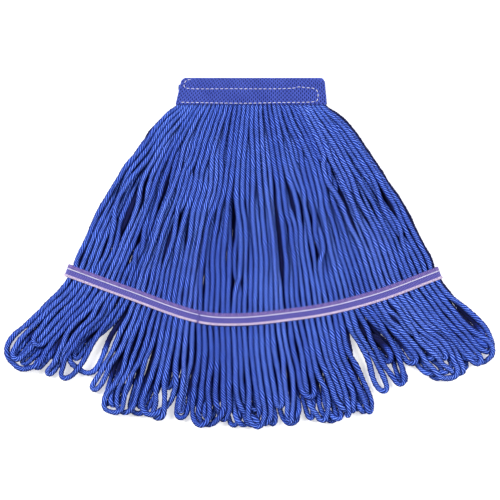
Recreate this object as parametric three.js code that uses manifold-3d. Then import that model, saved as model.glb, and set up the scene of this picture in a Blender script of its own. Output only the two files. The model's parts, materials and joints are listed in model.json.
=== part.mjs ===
// Looped-end string mop head, lying flat and folded in half along its headband.
// Millimetres. +X to the right, +Y towards the headband, +Z up from the floor it lies on.
import * as THREE from 'three';
import { mergeVertices } from 'three/addons/utils/BufferGeometryUtils.js';
import Module from 'manifold-3d';

const wasm = await Module();
wasm.setup();

// ---- headband ----
const BAND_BOTTOM_Y = 150;
const BAND_TOP_Y = 177.3;
const BAND_CENTRE_X = { bottom: 2.2, top: 4.2 };
const BAND_HALF_WIDTH = { bottom: 75.5, top: 71 };
const BAND_BACK_Z = 1.4;
const BAND_FRONT_Z = 14.4;
const BAND_CORNER_RADIUS = 5;
const WEBBING_THICKNESS = 1.3;
const GAP = 0.3;
const ARC_STEPS = 8;

// ---- fold line between headband and strands ----
const FOLD_Y = 149;
const FOLD_Z = 7.9;
const CORE_HALF_THICKNESS = FOLD_Z - BAND_BACK_Z - WEBBING_THICKNESS - GAP;
const CORE_INSET = 1;
const STRANDS_TOP_Y = FOLD_Y - 8.7;

// ---- strands ----
const FRONT_LOOPS = 34;
const STRANDS_TOP_X = { left: -78.5, right: 81 };
const LEG_GAP = 0.3;
const SPREAD_AT_TOP_DEG = 44;
const SPREAD_AT_TAPE_DEG = 24;
const SPREAD_AT_END_DEG = 38;

// Each lobe of the fringe: how many loops it has and where its left and right ends lie.
const LOBES = [
  { loops: 3, left: [-249, -99], right: [-212, -124] },
  { loops: 3, left: [-212, -125], right: [-168, -128] },
  { loops: 3, left: [-166, -156], right: [-114, -160] },
  { loops: 3, left: [-113, -161], right: [-63, -165] },
  { loops: 3, left: [-62, -171], right: [-13, -173] },
  { loops: 4, left: [-12, -173], right: [37, -173] },
  { loops: 3, left: [38, -173], right: [84, -170] },
  { loops: 3, left: [85, -165], right: [125, -161] },
  { loops: 3, left: [126, -139], right: [177, -136] },
  { loops: 3, left: [178, -127], right: [226, -122] },
  { loops: 3, left: [227, -120], right: [247.5, -86] },
];
const LOBE_CROWN = 4;
const LOOP_TIP = 8;

// ---- tailband ----
const TAPE_WIDTH = 12.7;
const TAPE_THICKNESS = 1;
const TAPE_LINE = [
  [-178.5, -16.5], [-125, -36.2], [-49, -62], [-9, -64.4],
  [42, -59.5], [80, -53.5], [131, -40], [187, -19],
];
const TAPE_FRONT_Z = 10;
const TAPE_BACK_Z = 1.8;
const LAP_LEFT_X = -49;
const LAP_RIGHT_X = 8;
const LAP_RAMP = 12;
const TAPE_CLEARANCE = 9;
const TAPE_EDGE_INSET = 1.6;
const WRAP_STEPS = 5;
const RUN_STEPS = 14;
const LAP_END_STEPS = 9;

// ---- sewing thread ----
const THREAD_RADIUS = 0.35;
const THREAD_SIDES = 6;
const THREAD_SINK = 0.05;
const TAPE_SEAM_OFFSETS = { upper: 2.2, lower: -4.6 };
const TAPE_SEAM_STEPS = 40;
const TAPE_SEAM_END = 0.01;
const TAPE_SEAM_DROP = 16;

// The headband's seam starts at the top left corner, drops, runs right, turns down and comes
// back left along the lower edge.
const BAND_SEAM = [
  [-60.4, 170.5], [-63.4, 168.4], [-63, 166.5], [-60.4, 166], [63, 166.3], [65.7, 165.6],
  [67.6, 163.9], [68.5, 161.4], [68.5, 156.2], [67.6, 154.2], [65, 153], [-2.5, 151.5], [-70.6, 152.8],
];

// Heights of the strands above the floor, station by station from the headband to the loop ends.
// 'above' is a share of the way to the tape and 'below' a share of the way from it to the end;
// 'tape' and 'tip' are distances from the tape and from the end, and 'width' narrows the tip.
const STATIONS = [
  { above: 0, top: 15.4, middle: 7.9 },
  { above: 0.12, top: 16.2, middle: 7.9 },
  { above: 0.35, top: 15.2, middle: 7.5 },
  { above: 0.62, top: 14, middle: 7 },
  { above: 0.84, top: 12.8, middle: 6.4 },
  { tape: TAPE_CLEARANCE, top: 9.2, middle: 5.9, bottom: 2.6 },
  { tape: -TAPE_CLEARANCE, top: 9.2, middle: 5.9, bottom: 2.6 },
  { tape: -20, top: 11.4, middle: 5.9 },
  { below: 0.5, top: 11.6, middle: 5.8 },
  { tip: LOOP_TIP, width: 1, top: 11, middle: 5.6 },
  { tip: 0.3 * LOOP_TIP, width: 0.84, top: 10.6, middle: 5.4 },
  { tip: 0, width: 0.4, top: 9.8, middle: 5.2 },
];
const SHOULDER = 1.3;
const BELLY_INSET = 0.15;

const material = (color, roughness) => new THREE.MeshStandardMaterial({ color, roughness, metalness: 0 });
const YARN = material(0x2c50b8, 0.9);
const WEBBING = material(0x2f47b0, 0.85);
const TAPE = material(0x4a3fa0, 0.8);
const THREAD = material(0xe8e4f0, 0.6);

const mop = new THREE.Group();

function add(name, geometry, finish) {
  const mesh = new THREE.Mesh(geometry, finish.clone());
  mesh.name = name;
  mop.add(mesh);
}

// ---- geometry helpers ----

function signedVolume(points, triangles) {
  let volume = 0;
  for (const [a, b, c] of triangles) {
    volume += points[a].dot(new THREE.Vector3().crossVectors(points[b], points[c]));
  }
  return volume;
}

function solid(points, triangles) {
  const outward = signedVolume(points, triangles) > 0;
  const faces = outward ? triangles : triangles.map(([a, b, c]) => [a, c, b]);
  const geometry = new THREE.BufferGeometry();
  geometry.setFromPoints(points);
  geometry.setIndex(faces.flat());
  geometry.computeVertexNormals();
  return geometry;
}

// A closed body through sections that all have the same number of points; capOutline gives the
// flat outline that the end caps are triangulated on.
function loft(sections, capOutline) {
  const count = sections[0].length;
  const triangles = [];
  for (let row = 0; row + 1 < sections.length; row += 1) {
    for (let k = 0; k < count; k += 1) {
      const next = (k + 1) % count;
      const a = row * count + k;
      const b = row * count + next;
      triangles.push([a, b, b + count], [a, b + count, a + count]);
    }
  }
  const cap = THREE.ShapeUtils.triangulateShape(capOutline, []);
  const last = (sections.length - 1) * count;
  const forward = THREE.ShapeUtils.isClockWise(capOutline);
  for (const [a, b, c] of cap) {
    triangles.push(forward ? [a, b, c] : [a, c, b]);
    triangles.push(forward ? [last + a, last + c, last + b] : [last + a, last + b, last + c]);
  }
  return solid(sections.flat(), triangles);
}

function threadOutline(radius) {
  const outline = [];
  for (let k = 0; k < THREAD_SIDES; k += 1) {
    const angle = (2 * Math.PI * k) / THREAD_SIDES;
    outline.push(new THREE.Vector2(radius * Math.cos(angle), radius * Math.sin(angle)));
  }
  return outline;
}

// A round rod from point to point.
function rod(points, radius) {
  const outline = threadOutline(radius);
  const up = new THREE.Vector3(0, 0, 1);
  const sections = points.map((point, k) => {
    const along = new THREE.Vector3().subVectors(points[k + 1] ?? point, points[k - 1] ?? point);
    const side = along.cross(up).normalize();
    const place = (corner) => point.clone().addScaledVector(side, corner.x).addScaledVector(up, corner.y);
    return outline.map(place);
  });
  return loft(sections, outline);
}

function toManifold(geometry) {
  const bare = geometry.clone();
  bare.deleteAttribute('normal');
  const merged = mergeVertices(bare, 1e-4);
  return new wasm.Manifold(new wasm.Mesh({
    numProp: 3,
    vertProperties: merged.getAttribute('position').array,
    triVerts: new Uint32Array(merged.getIndex().array),
  }));
}

function cutAway(geometry, cutters) {
  const left = cutters.reduce((body, cutter) => body.subtract(toManifold(cutter)), toManifold(geometry));
  const mesh = left.getMesh();
  const result = new THREE.BufferGeometry();
  result.setAttribute('position', new THREE.BufferAttribute(mesh.vertProperties, 3));
  result.setIndex(new THREE.BufferAttribute(mesh.triVerts, 1));
  result.computeVertexNormals();
  return result;
}

// ---- headband: folded webbing, the sewn yarn core and the seam threads ----

const mix = (a, b, share) => a + (b - a) * share;

function bandEdge(y, side) {
  const share = (y - BAND_BOTTOM_Y) / (BAND_TOP_Y - BAND_BOTTOM_Y);
  const centre = mix(BAND_CENTRE_X.bottom, BAND_CENTRE_X.top, share);
  const half = mix(BAND_HALF_WIDTH.bottom, BAND_HALF_WIDTH.top, share);
  const intoCorner = Math.max(0, y - (BAND_TOP_Y - BAND_CORNER_RADIUS));
  const corner = BAND_CORNER_RADIUS - Math.sqrt(BAND_CORNER_RADIUS ** 2 - intoCorner ** 2);
  return centre + side * (half - corner);
}

function arc(centreY, centreZ, radius, fromDeg, toDeg, steps) {
  const points = [];
  for (let k = 0; k <= steps; k += 1) {
    const angle = THREE.MathUtils.degToRad(mix(fromDeg, toDeg, k / steps));
    const y = centreY + radius * Math.cos(angle);
    const z = centreZ + radius * Math.sin(angle);
    points.push(new THREE.Vector2(y, z));
  }
  return points;
}

// A prism between the headband's slanting left and right edges, with outline points (y, z).
function acrossBand(outline, inset) {
  const side = (sign) => outline.map((p) => new THREE.Vector3(bandEdge(p.x, sign) - sign * inset, p.x, p.y));
  return loft([side(-1), side(1)], outline);
}

function headbandWebbing() {
  const outerRadius = (BAND_FRONT_Z - BAND_BACK_Z) / 2;
  const foldY = BAND_TOP_Y - outerRadius;
  const innerRadius = outerRadius - WEBBING_THICKNESS;
  const outline = [
    new THREE.Vector2(BAND_BOTTOM_Y, FOLD_Z - outerRadius),
    ...arc(foldY, FOLD_Z, outerRadius, -90, 90, ARC_STEPS),
    new THREE.Vector2(BAND_BOTTOM_Y, FOLD_Z + outerRadius),
    new THREE.Vector2(BAND_BOTTOM_Y, FOLD_Z + innerRadius),
    ...arc(foldY, FOLD_Z, innerRadius, 90, -90, ARC_STEPS),
    new THREE.Vector2(BAND_BOTTOM_Y, FOLD_Z - innerRadius),
  ];
  const grooves = [bandSeam(1, GAP), bandSeam(-1, GAP)];
  return cutAway(acrossBand(outline, 0), grooves);
}

function yarnCore() {
  const radius = CORE_HALF_THICKNESS;
  const topY = BAND_TOP_Y - (BAND_FRONT_Z - BAND_BACK_Z) / 2;
  const outline = [
    ...arc(FOLD_Y, FOLD_Z, radius, 270, 90, ARC_STEPS),
    ...arc(topY, FOLD_Z, radius, 90, -90, ARC_STEPS),
  ];
  return acrossBand(outline, CORE_INSET);
}

// The headband's seam in the front face (side = 1) or the back face (side = -1), just below it;
// its groove is the same seam with some room around the thread.
function bandSeam(side, room = 0) {
  const face = side > 0 ? BAND_FRONT_Z : BAND_BACK_Z;
  const z = face - side * (THREAD_RADIUS + THREAD_SINK);
  return rod(BAND_SEAM.map(([x, y]) => new THREE.Vector3(x, y, z)), THREAD_RADIUS + room);
}

// ---- strands ----

const tapeCurve = new THREE.CatmullRomCurve3(
  TAPE_LINE.map(([x, y]) => new THREE.Vector3(x, y, 0)), false, 'centripetal',
);

function hermite(start, end, startDeg, endDeg, share) {
  const length = start.distanceTo(end);
  const heading = (deg) => {
    const angle = THREE.MathUtils.degToRad(deg);
    return new THREE.Vector2(Math.sin(angle), -Math.cos(angle)).multiplyScalar(length);
  };
  const s2 = share * share;
  const s3 = s2 * share;
  return new THREE.Vector2()
    .addScaledVector(start, 2 * s3 - 3 * s2 + 1)
    .addScaledVector(heading(startDeg), s3 - 2 * s2 + share)
    .addScaledVector(end, 3 * s2 - 2 * s3)
    .addScaledVector(heading(endDeg), s3 - s2);
}

// One edge of a strand: across is 0 at the left edge of the skirt and 1 at its right edge.
function strandEdge(across, end) {
  const lean = 2 * across - 1;
  const top = new THREE.Vector2(mix(STRANDS_TOP_X.left, STRANDS_TOP_X.right, across), STRANDS_TOP_Y);
  const onTape = tapeCurve.getPointAt(across);
  const tape = new THREE.Vector2(onTape.x, onTape.y);
  const upper = top.distanceTo(tape);
  const lower = tape.distanceTo(end);
  const tapeDeg = lean * SPREAD_AT_TAPE_DEG;
  return STATIONS.map((station) => {
    if (station.above !== undefined || station.tape > 0) {
      const share = station.above ?? 1 - station.tape / upper;
      return hermite(top, tape, lean * SPREAD_AT_TOP_DEG, tapeDeg, share);
    }
    const fromEnd = station.tip === undefined ? undefined : 1 - station.tip / lower;
    const share = station.below ?? fromEnd ?? -station.tape / lower;
    return hermite(tape, end, tapeDeg, lean * SPREAD_AT_END_DEG, share);
  });
}

function lobeEnd(lobe, share) {
  const left = new THREE.Vector2(...lobe.left);
  const right = new THREE.Vector2(...lobe.right);
  const along = new THREE.Vector2().subVectors(right, left).normalize();
  const crown = LOBE_CROWN * (1 - (2 * share - 1) ** 2);
  return left.lerp(right, share).add(new THREE.Vector2(along.y, -along.x).multiplyScalar(crown));
}

// Left and right edges of one strand, with its half of the gap taken off and its tip drawn in.
function strandSides(fromAcross, toAcross, fromEnd, toEnd) {
  const left = strandEdge(fromAcross, fromEnd);
  const right = strandEdge(toAcross, toEnd);
  return STATIONS.map((station, k) => {
    const across = new THREE.Vector2().subVectors(right[k], left[k]);
    const width = across.length();
    across.normalize();
    const taper = 0.5 * width * (1 - (station.width ?? 1));
    const atTape = station.bottom !== undefined;
    const leftInset = LEG_GAP / 2 + taper + (atTape && fromAcross === 0 ? TAPE_EDGE_INSET : 0);
    const rightInset = LEG_GAP / 2 + taper + (atTape && toAcross === 1 ? TAPE_EDGE_INSET : 0);
    return {
      left: left[k].clone().addScaledVector(across, leftInset),
      right: right[k].clone().addScaledVector(across, -rightInset),
    };
  });
}

function frontLoop(sides) {
  const sections = sides.map(({ left, right }, k) => {
    const { top, middle } = STATIONS[k];
    const centre = left.clone().lerp(right, 0.5);
    return [
      new THREE.Vector3(left.x, left.y, middle + LEG_GAP / 2),
      new THREE.Vector3(right.x, right.y, middle + LEG_GAP / 2),
      new THREE.Vector3(right.x, right.y, top - SHOULDER),
      new THREE.Vector3(centre.x, centre.y, top),
      new THREE.Vector3(left.x, left.y, top - SHOULDER),
    ];
  });
  return loft(sections, flatOutline([[0, 0], [4, 0], [4, 2], [2, 3], [0, 2]]));
}

function backLoops(sides) {
  const sections = sides.map(({ left, right }, k) => {
    const { middle, bottom = 0 } = STATIONS[k];
    const inner = (share) => left.clone().lerp(right, share);
    const low = [inner(BELLY_INSET), inner(1 - BELLY_INSET)];
    return [
      new THREE.Vector3(left.x, left.y, middle - LEG_GAP / 2),
      new THREE.Vector3(left.x, left.y, bottom + SHOULDER),
      new THREE.Vector3(low[0].x, low[0].y, bottom),
      new THREE.Vector3(low[1].x, low[1].y, bottom),
      new THREE.Vector3(right.x, right.y, bottom + SHOULDER),
      new THREE.Vector3(right.x, right.y, middle - LEG_GAP / 2),
    ];
  });
  return loft(sections, flatOutline([[0, 3], [0, 1], [1, 0], [3, 0], [4, 1], [4, 3]]));
}

function flatOutline(points) {
  return points.map(([x, y]) => new THREE.Vector2(x, y));
}

// ---- tailband ----

// The share of the tape's line at which it passes x.
function shareAtX(x) {
  let low = 0;
  let high = 1;
  while (high - low > 1e-7) {
    const middle = (low + high) / 2;
    if (tapeCurve.getPointAt(middle).x < x) low = middle;
    else high = middle;
  }
  return low;
}

const acrossTape = (along) => new THREE.Vector3(along.y, -along.x, 0);

// A flat run of the tape, on the front (up = 1) or the back (up = -1).
function tapeRun(from, to, steps, up, height) {
  const stations = [];
  for (let k = 0; k <= steps; k += 1) {
    const at = mix(from, to, k / steps);
    const centre = tapeCurve.getPointAt(at);
    centre.z = height(centre.x);
    const wide = acrossTape(tapeCurve.getTangentAt(at));
    stations.push({ centre, wide, out: new THREE.Vector3(0, 0, up) });
  }
  return stations;
}

// The half turn of the tape round the skirt's left (side = -1) or right (side = 1) edge.
function tapeWrap(side, fromDeg, toDeg) {
  const at = side < 0 ? 0 : 1;
  const along = tapeCurve.getTangentAt(at);
  const radius = (TAPE_FRONT_Z - TAPE_BACK_Z) / 2;
  const stations = [];
  for (let k = 1; k < WRAP_STEPS; k += 1) {
    const angle = THREE.MathUtils.degToRad(mix(fromDeg, toDeg, k / WRAP_STEPS));
    const out = along.clone().multiplyScalar(side * Math.cos(angle));
    out.z = Math.sin(angle);
    const centre = tapeCurve.getPointAt(at).addScaledVector(out, radius);
    centre.z += (TAPE_FRONT_Z + TAPE_BACK_Z) / 2;
    stations.push({ centre, wide: acrossTape(along), out });
  }
  return stations;
}

// Height of the tape's upper end, which lies on its lower end over the lap.
function overLap(x) {
  const lift = TAPE_THICKNESS + GAP;
  const down = (LAP_RIGHT_X + LAP_RAMP - x) / LAP_RAMP + 0.5;
  return TAPE_FRONT_Z + lift * THREE.MathUtils.clamp(down, 0, 1);
}

function tailbandTape() {
  const stations = [
    ...tapeRun(shareAtX(LAP_RIGHT_X), 0, LAP_END_STEPS, 1, () => TAPE_FRONT_Z),
    ...tapeWrap(-1, 90, -90),
    ...tapeRun(0, 1, RUN_STEPS, -1, () => TAPE_BACK_Z),
    ...tapeWrap(1, -90, 90),
    ...tapeRun(1, shareAtX(LAP_LEFT_X), RUN_STEPS, 1, overLap),
  ];
  const sections = stations.map(({ centre, wide, out }) => {
    const corner = (w, t) => centre.clone()
      .addScaledVector(wide, w * TAPE_WIDTH / 2)
      .addScaledVector(out, t * TAPE_THICKNESS / 2);
    return [corner(-1, -1), corner(1, -1), corner(1, 1), corner(-1, 1)];
  });
  return loft(sections, flatOutline([[0, 0], [4, 0], [4, 1], [0, 1]]));
}

// A seam along the tape, offset from its middle line, on its front or its back.
function tapeSeam(offset, front) {
  const proud = TAPE_THICKNESS / 2 + GAP + THREAD_RADIUS;
  const points = [];
  for (let k = 0; k <= TAPE_SEAM_STEPS; k += 1) {
    const at = mix(TAPE_SEAM_END, 1 - TAPE_SEAM_END, k / TAPE_SEAM_STEPS);
    const point = tapeCurve.getPointAt(at);
    const along = tapeCurve.getTangentAt(at);
    point.x -= along.y * offset;
    point.y += along.x * offset;
    const pastLap = point.x < LAP_LEFT_X - TAPE_SEAM_DROP;
    const lifted = pastLap ? TAPE_FRONT_Z : overLap(point.x - LAP_RAMP / 2);
    point.z = front ? lifted + proud : TAPE_BACK_Z - proud;
    points.push(point);
  }
  return rod(points, THREAD_RADIUS);
}

// ---- assembly ----

add('headband_webbing', headbandWebbing(), WEBBING);
add('yarn_core', yarnCore(), YARN);
add('headband_stitch_front', bandSeam(1), THREAD);
add('headband_stitch_back', bandSeam(-1), THREAD);

let loopsSoFar = 0;
LOBES.forEach((lobe, lobeIndex) => {
  for (let k = 0; k < lobe.loops; k += 1) {
    const number = String(loopsSoFar + k + 1).padStart(2, '0');
    const sides = strandSides(
      (loopsSoFar + k) / FRONT_LOOPS, (loopsSoFar + k + 1) / FRONT_LOOPS,
      lobeEnd(lobe, k / lobe.loops), lobeEnd(lobe, (k + 1) / lobe.loops),
    );
    add(`front_loop_${number}`, frontLoop(sides), YARN);
  }
  const sides = strandSides(
    loopsSoFar / FRONT_LOOPS, (loopsSoFar + lobe.loops) / FRONT_LOOPS,
    lobeEnd(lobe, 0), lobeEnd(lobe, 1),
  );
  add(`back_loops_${String(lobeIndex + 1).padStart(2, '0')}`, backLoops(sides), YARN);
  loopsSoFar += lobe.loops;
});

add('tailband_tape', tailbandTape(), TAPE);
for (const [row, offset] of Object.entries(TAPE_SEAM_OFFSETS)) {
  add(`tailband_stitch_front_${row}`, tapeSeam(offset, true), THREAD);
  add(`tailband_stitch_back_${row}`, tapeSeam(offset, false), THREAD);
}

export default mop;
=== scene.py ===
"""Looped-end string mop head, lying flat: its looks. Lengths are in mm until build()."""

import json
import math

import bpy
import numpy as np
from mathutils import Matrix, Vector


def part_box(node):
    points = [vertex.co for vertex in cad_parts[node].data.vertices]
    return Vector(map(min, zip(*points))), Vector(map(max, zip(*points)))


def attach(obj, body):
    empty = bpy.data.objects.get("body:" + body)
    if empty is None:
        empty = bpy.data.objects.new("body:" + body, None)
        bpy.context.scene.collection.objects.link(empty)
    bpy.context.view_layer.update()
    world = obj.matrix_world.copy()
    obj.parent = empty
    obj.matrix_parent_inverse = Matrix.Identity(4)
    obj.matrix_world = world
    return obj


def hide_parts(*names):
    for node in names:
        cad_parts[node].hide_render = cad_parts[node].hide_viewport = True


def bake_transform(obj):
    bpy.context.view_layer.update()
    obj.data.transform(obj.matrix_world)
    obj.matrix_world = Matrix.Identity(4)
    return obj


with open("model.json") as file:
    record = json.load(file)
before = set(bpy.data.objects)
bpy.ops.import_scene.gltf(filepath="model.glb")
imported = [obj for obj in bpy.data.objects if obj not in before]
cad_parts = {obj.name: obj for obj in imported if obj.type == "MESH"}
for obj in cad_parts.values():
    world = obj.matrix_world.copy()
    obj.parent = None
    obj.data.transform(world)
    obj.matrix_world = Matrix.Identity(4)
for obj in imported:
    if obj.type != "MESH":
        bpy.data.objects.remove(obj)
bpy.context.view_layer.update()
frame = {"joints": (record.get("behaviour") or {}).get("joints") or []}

MM = 0.001
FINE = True

# ---- the layout, in mm, as the frame has it ----


def box_mm(node):
    """A node's lowest and highest corner."""
    low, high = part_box(node)
    return np.array(low) / MM, np.array(high) / MM


BAND_LOW, BAND_HIGH = box_mm("headband_webbing")
FOLD = next(joint for joint in frame["joints"] if joint["name"] == "headband_fold")
FOLD_Z = FOLD["pos_m"][2] / MM

BAND_MOUTH_Y, BAND_TOP_Y = BAND_LOW[1], BAND_HIGH[1]
BAND_FOLD_RADIUS = (BAND_HIGH[2] - BAND_LOW[2]) / 2
BAND_FOLD_Y = BAND_TOP_Y - BAND_FOLD_RADIUS
# The headband's half width and the x of its middle, at its mouth and at its top.
BAND_HALF_WIDTHS = (75.5, 71)
BAND_CENTRES = (2.2, 4.2)
BAND_CORNER = 5
WEBBING_THICKNESS = 1.3
CORE_INSET = 3.5
CORE_START_Y = BAND_MOUTH_Y + 20
# The seam's course: a hook at the upper left, along to the right, round, and back to the left edge.
BAND_SEAM = [
    (-58, 175.3), (-62.6, 173.6), (-64.6, 170.4), (-64, 167), (-61, 166),
    (-20, 165.6), (44, 166.2), (50, 167.5),
    (56, 166.6), (63, 166.2), (67.4, 164), (68.6, 161), (68.6, 156), (67.4, 153.6), (64, 152.6),
    (30, 151.8), (-2.5, 151.2), (-40, 151.6), (-71.5, 152.2),
]

TAPE_LOW, TAPE_HIGH = box_mm("tailband_tape")
TAPE_WIDTH, TAPE_THICKNESS = 12.7, 1.0
# The tape's ends lap in front between these two places; the upper one rises over a ramp.
LAP_LEFT_X, LAP_RIGHT_X, LAP_RAMP, LAP_LIFT = -49, 8, 12, 1.3
TAPE_BACK_Z = TAPE_LOW[2] + TAPE_THICKNESS / 2
TAPE_FRONT_Z = TAPE_HIGH[2] - TAPE_THICKNESS / 2 - LAP_LIFT

# How far the outermost legs lean from straight down, in degrees: at their top, the tape and the end.
SPREAD_TOP, SPREAD_TAPE, SPREAD_END = 46, 24, 38
TAPE_LINE = [
    (-178.5, -16.5), (-125, -36.2), (-49, -62), (-9, -64.4),
    (42, -59.5), (80, -53.5), (131, -40), (187, -19),
]
# Each lobe of the fringe: how many loops, and where its left and right ends lie.
LOBES = [
    (3, (-252, -99), (-213, -125)),
    (3, (-212, -125), (-168, -128)),
    (3, (-166, -156), (-114, -160)),
    (3, (-113, -161), (-63, -165)),
    (3, (-62, -171), (-13, -173)),
    (4, (-12, -173), (37, -173)),
    (3, (38, -173), (84, -170)),
    (3, (85, -165), (125, -161)),
    (3, (126, -139), (177, -136)),
    (3, (178, -127), (226, -122)),
    (3, (227, -121), (250.5, -85)),
]
LEGS = 2 * sum(lobe[0] for lobe in LOBES)
# Between these places, counted in legs, the fringe is one run; its outline steps at the inner two.
SECTIONS = [0, 12, 50, LEGS]
LOBE_CROWN = 4
# Added to each leg's length, because the loops' ends draw back as they settle.
SETTLING = 4
# Legs are joined into loops within groups of neighbours. Many groups of the back half straddle two
# lobes, and none reaches across a step of the outline.
FRONT_GROUPS = [2 * lobe[0] for lobe in LOBES]
BACK_GROUPS = [4, 4, 4, 4, 6, 6, 6, 6, 6, 4, 4, 6, 4, 4]
# By a group's size: the ways in which its legs may be paired.
PAIRINGS = {
    4: [[(0, 2), (1, 3)], [(0, 1), (2, 3)]],
    6: [[(0, 2), (1, 4), (3, 5)], [(0, 1), (2, 4), (3, 5)], [(0, 4), (1, 3), (2, 5)],
        [(0, 3), (1, 2), (4, 5)], [(0, 5), (1, 3), (2, 4)]],
    8: [[(0, 2), (1, 4), (3, 6), (5, 7)], [(0, 5), (1, 3), (2, 4), (6, 7)]],
}

# Heights at shares of the way, which is 0 at the headband's mouth, 1 at the tape, 2 at the end:
# the middle of each row of yarns, from the front row to the back one, and the room they lie in.
WAY = [-0.05, 0, 0.05, 0.12, 0.35, 0.62, 0.84, 0.953, 1.047, 1.13, 1.5, 2]
ROW_Z = [
    [11.5, 11.6, 12.7, 13.2, 12.7, 11.8, 10.6, 7.5, 7.5, 9.0, 8.9, 7.6],
    [9.1, 9.2, 9.5, 9.7, 9.3, 8.6, 7.9, 7.4, 7.4, 7.0, 6.6, 5.6],
    [6.7, 6.6, 6.3, 6.1, 5.9, 5.6, 5.0, 4.3, 4.3, 4.8, 4.5, 4.2],
    [4.3, 4.2, 3.4, 2.7, 2.6, 2.6, 2.6, 4.2, 4.2, 2.7, 2.6, 2.6],
]
TOP_Z = [12.9, 13.1, 15.0, 16.2, 15.8, 15, 13.6, 9.3, 9.3, 14, 15, 14]
BOTTOM_Z = [2.9, 2.8, 1.2, 0, 0, 0, 0, 2.5, 2.5, 0.3, 0, 0]

YARN_RADIUS = 2.75
# The yarn's thickness along its way: slim at the headband and under the tape, fuller in the fringe.
FULLNESS = ([-0.05, 0, 0.2, 0.8, 1, 1.25, 2], [0.8, 0.8, 1, 1.0, 0.92, 1.08, 1.06])
PLIES = 6
TWIST_PITCH = 17
STEP = 3.5

# ---- curves ----


def distances(path):
    """How far along the path each of its points lies."""
    return np.concatenate([[0], np.cumsum(np.linalg.norm(np.diff(path, axis=0), axis=1))])


def resample(line, spacing):
    """The polyline at equal steps of about spacing, measured on its first three columns."""
    at = distances(line[:, :3])
    wanted = np.linspace(0, at[-1], max(2, round(at[-1] / spacing) + 1))
    return np.stack([np.interp(wanted, at, column) for column in line.T], axis=1)


def hermite(start, end, leave, arrive, t):
    """The curve from start to end that leaves and arrives with the given velocities."""
    t2, t3 = t * t, t * t * t
    ends = (2 * t3 - 3 * t2 + 1) * start + (3 * t2 - 2 * t3) * end
    return ends + (t3 - 2 * t2 + t) * leave + (t3 - t2) * arrive


def spline(points, spacing, per_span=24):
    """A centripetal Catmull-Rom curve through the points, at equal steps."""
    p = np.asarray(points, float)
    p = np.vstack([2 * p[0] - p[1], p, 2 * p[-1] - p[-2]])
    knot = np.maximum(np.linalg.norm(np.diff(p[:, :3], axis=0), axis=1) ** 0.5, 1e-6)[:, None]
    a, b, c = knot[:-2], knot[1:-1], knot[2:]
    p0, p1, p2, p3 = p[:-3], p[1:-2], p[2:-1], p[3:]
    leave = ((p1 - p0) / a - (p2 - p0) / (a + b) + (p2 - p1) / b) * b
    arrive = ((p2 - p1) / b - (p3 - p1) / (b + c) + (p3 - p2) / c) * b
    t = np.linspace(0, 1, per_span, endpoint=False)[None, :, None]
    spans = hermite(p1[:, None], p2[:, None], leave[:, None], arrive[:, None], t)
    return resample(np.vstack([spans.reshape(-1, p.shape[1]), p[-2]]), spacing)


def heading(degrees, length):
    """A vector leaning from straight down, to the right when degrees is positive."""
    angle = math.radians(degrees)
    return length * np.array([math.sin(angle), -math.cos(angle)])


def unit(vectors):
    return vectors / np.maximum(np.linalg.norm(vectors, axis=-1, keepdims=True), 1e-9)


def smooth(t):
    """A soft step from 0 to 1."""
    t = np.clip(t, 0, 1)
    return t * t * (3 - 2 * t)


def hump(x, middle, width):
    """A soft bump of height 1."""
    return np.exp(-((x - middle) / width) ** 2)


TAPE_CURVE = spline(TAPE_LINE, 0.5)


def on_tape(across):
    """The point on the tape's middle line at a share of the way from left to right."""
    return TAPE_CURVE[round(across * (len(TAPE_CURVE) - 1))]


# ---- routes of the yarns, before they settle ----


# Near enough a full turn, in radians.
TURN = 6.3
# How free the legs are to drift, along the way: not at all at the headband's mouth, hardly at the tape.
ROOM = ([0, 0.08, 0.35, 0.8, 0.93, 0.97, 1.03, 1.08, 1.3, 2],
        [0, 0.5, 1, 1, 0.5, 0.05, 0.05, 0.4, 1, 0.8])
SHARED_DRIFT, OWN_WAVE, OWN_RIPPLE = 1.8, 1.7, 1.0


class Drift:
    """Sideways drift of the legs, in mm: drifts that neighbours share, and each leg's own."""

    def __init__(self, draw, bunching, sway):
        self.draw = draw
        self.bunching, self.sway = bunching, sway
        self.shared = self.waves((2, 7), (0.5, 1.6))
        self.bunches = self.waves((11, 21), (0.6, 2.4))

    def waves(self, across, down):
        """Four random waves: turns across the mop, turns down the way, and phase."""
        draw = self.draw
        return [(draw.uniform(*across), draw.uniform(*down), draw.uniform(0, TURN)) for _ in range(4)]

    def aside(self, across, way, far):
        slow = sum(np.sin(TURN * (a * across + b * way) + c) for a, b, c in self.shared) / 2
        bunch = sum(np.sin(TURN * (a * across + b * way) + c) for a, b, c in self.bunches) / 2
        wave, ripple = self.draw.uniform(45, 100), self.draw.uniform(18, 34)
        alone = np.sin(TURN * (far / wave + self.draw.random()))
        quick = np.sin(TURN * (far / ripple + self.draw.random()))
        loose = self.sway * smooth((way - 1.1) / 0.3)
        loose = loose * np.sin(TURN * (far / self.draw.uniform(70, 130) + self.draw.random()))
        drift = SHARED_DRIFT * slow + self.bunching * bunch + OWN_WAVE * alone + OWN_RIPPLE * quick + loose
        return np.interp(way, *ROOM) * drift


STRAY_LIFT, STRAY_LIFT_WIDTH = 4.5, 1.2
LOOP_BOW, NARROWEST_LOOP = 1.9, 5.5
# A leg ends short by up to the first figure, in mm; a share of the loops is shorter still, by the range.
UNEVEN_ENDS, SHORTER_STILL, SHARE_OF_SHORT_LOOPS = 5, (9, 30), 0.2
PLACE_JITTER = 0.12
EDGE_MARGIN = 0.3


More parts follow.
